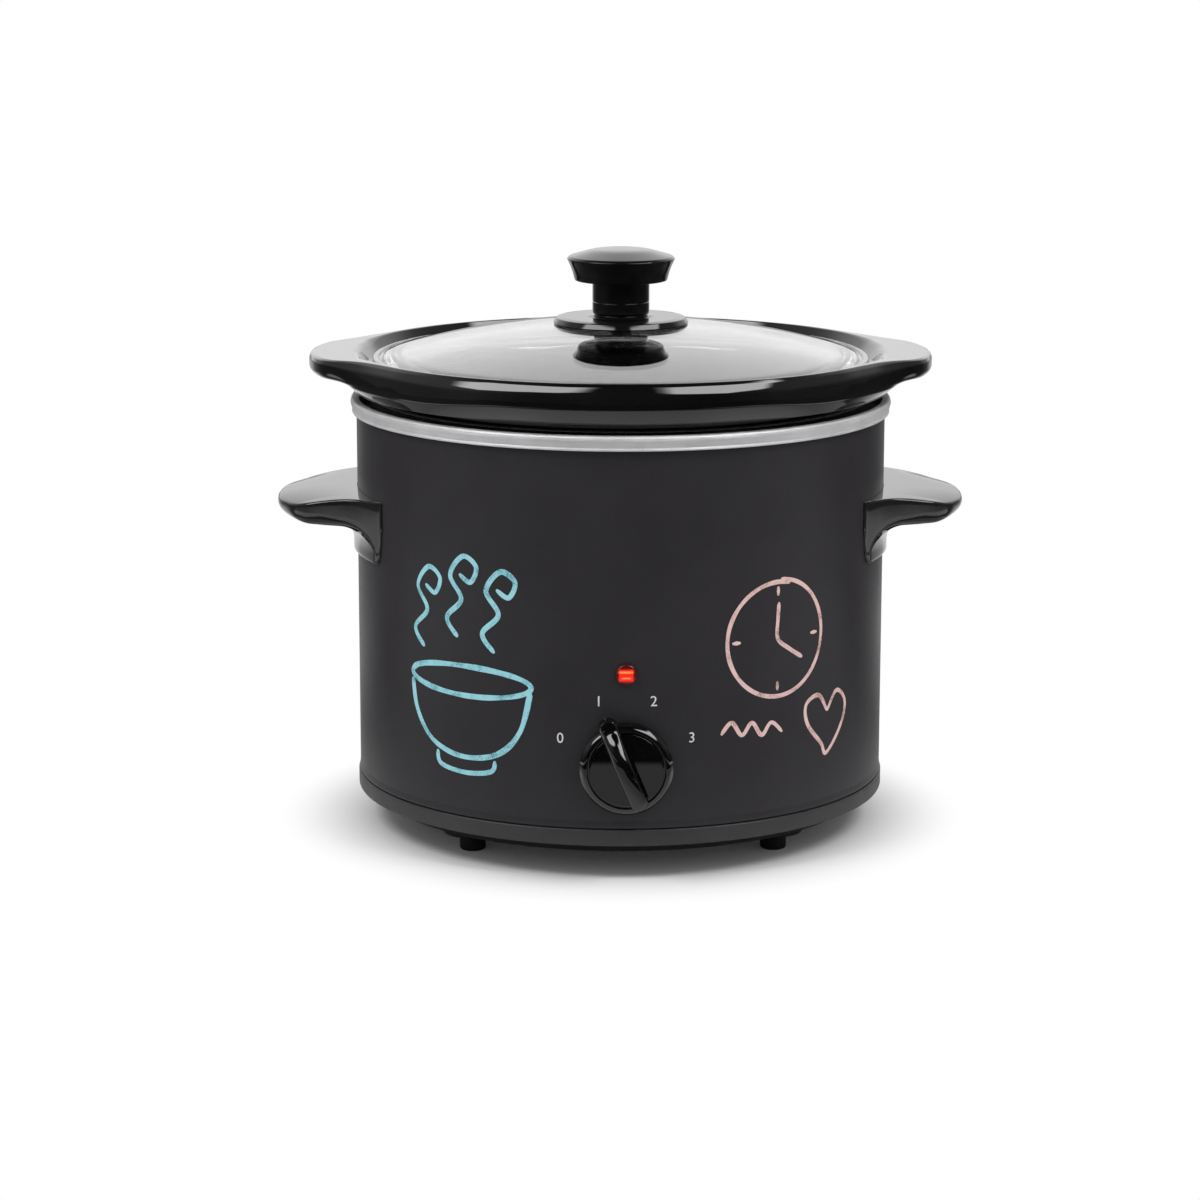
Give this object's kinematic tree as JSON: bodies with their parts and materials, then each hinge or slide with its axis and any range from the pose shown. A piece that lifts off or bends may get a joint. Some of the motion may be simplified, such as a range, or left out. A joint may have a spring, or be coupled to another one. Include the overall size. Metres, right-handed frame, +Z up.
{
  "type": "slow cooker",
  "caption": "Round electric slow cooker: steel drum with side handles and a rotary heat dial, lift-out stoneware crock with ears and a domed glass lid with a knob.",
  "frame": {"origin": "on the drum's axis, in the plane of the foot soles", "axes": "+Z up along the drum's axis, the dial on -Y, the handles on +X and -X"},
  "size_m": [0.3126, 0.2643, 0.2619],
  "materials": {
    "drum_paint": "matt chalkboard paint",
    "well_aluminium": "spun, brushed",
    "base_plastic": "satin moulded",
    "foot_rubber": "matt",
    "handle_plastic": "gloss moulded",
    "knob_plastic": "gloss moulded",
    "dial_plastic": "gloss moulded",
    "crock_glaze": "high-gloss glaze",
    "lid_glass": "clear, toughened",
    "lens_red": "translucent, ribbed",
    "zinc_steel": "zinc plated",
    "brass": "machined",
    "switch_plastic": "moulded",
    "seal_silicone": "soft",
    "bulb_glass": "clear",
    "band_steel": "rolled",
    "block_plastic": "moulded",
    "bush_rubber": "satin",
    "lead_sleeve": "braided glass sleeve",
    "spring_steel": "hardened"
  },
  "bodies": {
    "base": {"outer_shell": "drum_paint", "heating_liner": "well_aluminium", "base_plate": "base_plastic", "foot_front_left": "foot_rubber", "foot_front_right": "foot_rubber", "foot_rear_left": "foot_rubber", "foot_rear_right": "foot_rubber", "left_handle": "handle_plastic", "right_handle": "handle_plastic", "handle_screws": "zinc_steel", "handle_washers": "zinc_steel", "switch_body": "switch_plastic", "switch_back": "switch_plastic", "switch_bushing": "brass", "switch_nut": "brass", "switch_terminals": "brass", "lamp_lens": "lens_red", "lamp_clip": "spring_steel", "neon_bulb": "bulb_glass", "heater_band": "band_steel", "heater_clamp_screw": "zinc_steel", "heater_clamp_nut": "zinc_steel", "thermal_fuse": "band_steel", "fuse_clip": "spring_steel", "centre_stud": "zinc_steel", "stud_washer": "zinc_steel", "stud_nut": "zinc_steel", "earth_tag": "brass", "terminal_block": "block_plastic", "terminal_screws": "zinc_steel", "cord_bush": "bush_rubber", "live_lead": "lead_sleeve", "heater_lead": "lead_sleeve", "lamp_lead": "lead_sleeve", "neutral_lead": "lead_sleeve"},
    "crock": {"crock": "crock_glaze"},
    "lid": {"lid_glass": "lid_glass", "knob_grip": "knob_plastic", "knob_collar": "knob_plastic", "knob_seal": "seal_silicone", "knob_screw": "zinc_steel", "screw_washer": "zinc_steel"},
    "dial": {"dial": "dial_plastic", "switch_spindle": "zinc_steel", "switch_rotor": "switch_plastic", "dial_spring": "spring_steel"}
  },
  "joints": [
    {"name": "crock_lift", "type": "slide", "parent": "base", "child": "crock", "axis": [0, 0, 1], "range_m": [0, 0.15]},
    {"name": "lid_lift", "type": "slide", "parent": "crock", "child": "lid", "axis": [0, 0, 1], "range_m": [0, 0.12]},
    {"name": "dial_turn", "type": "hinge", "parent": "base", "child": "dial", "pos_m": [0, -0.12, 0.0512], "axis": [0, 1, 0], "range_deg": [-45, 90]}
  ]
}
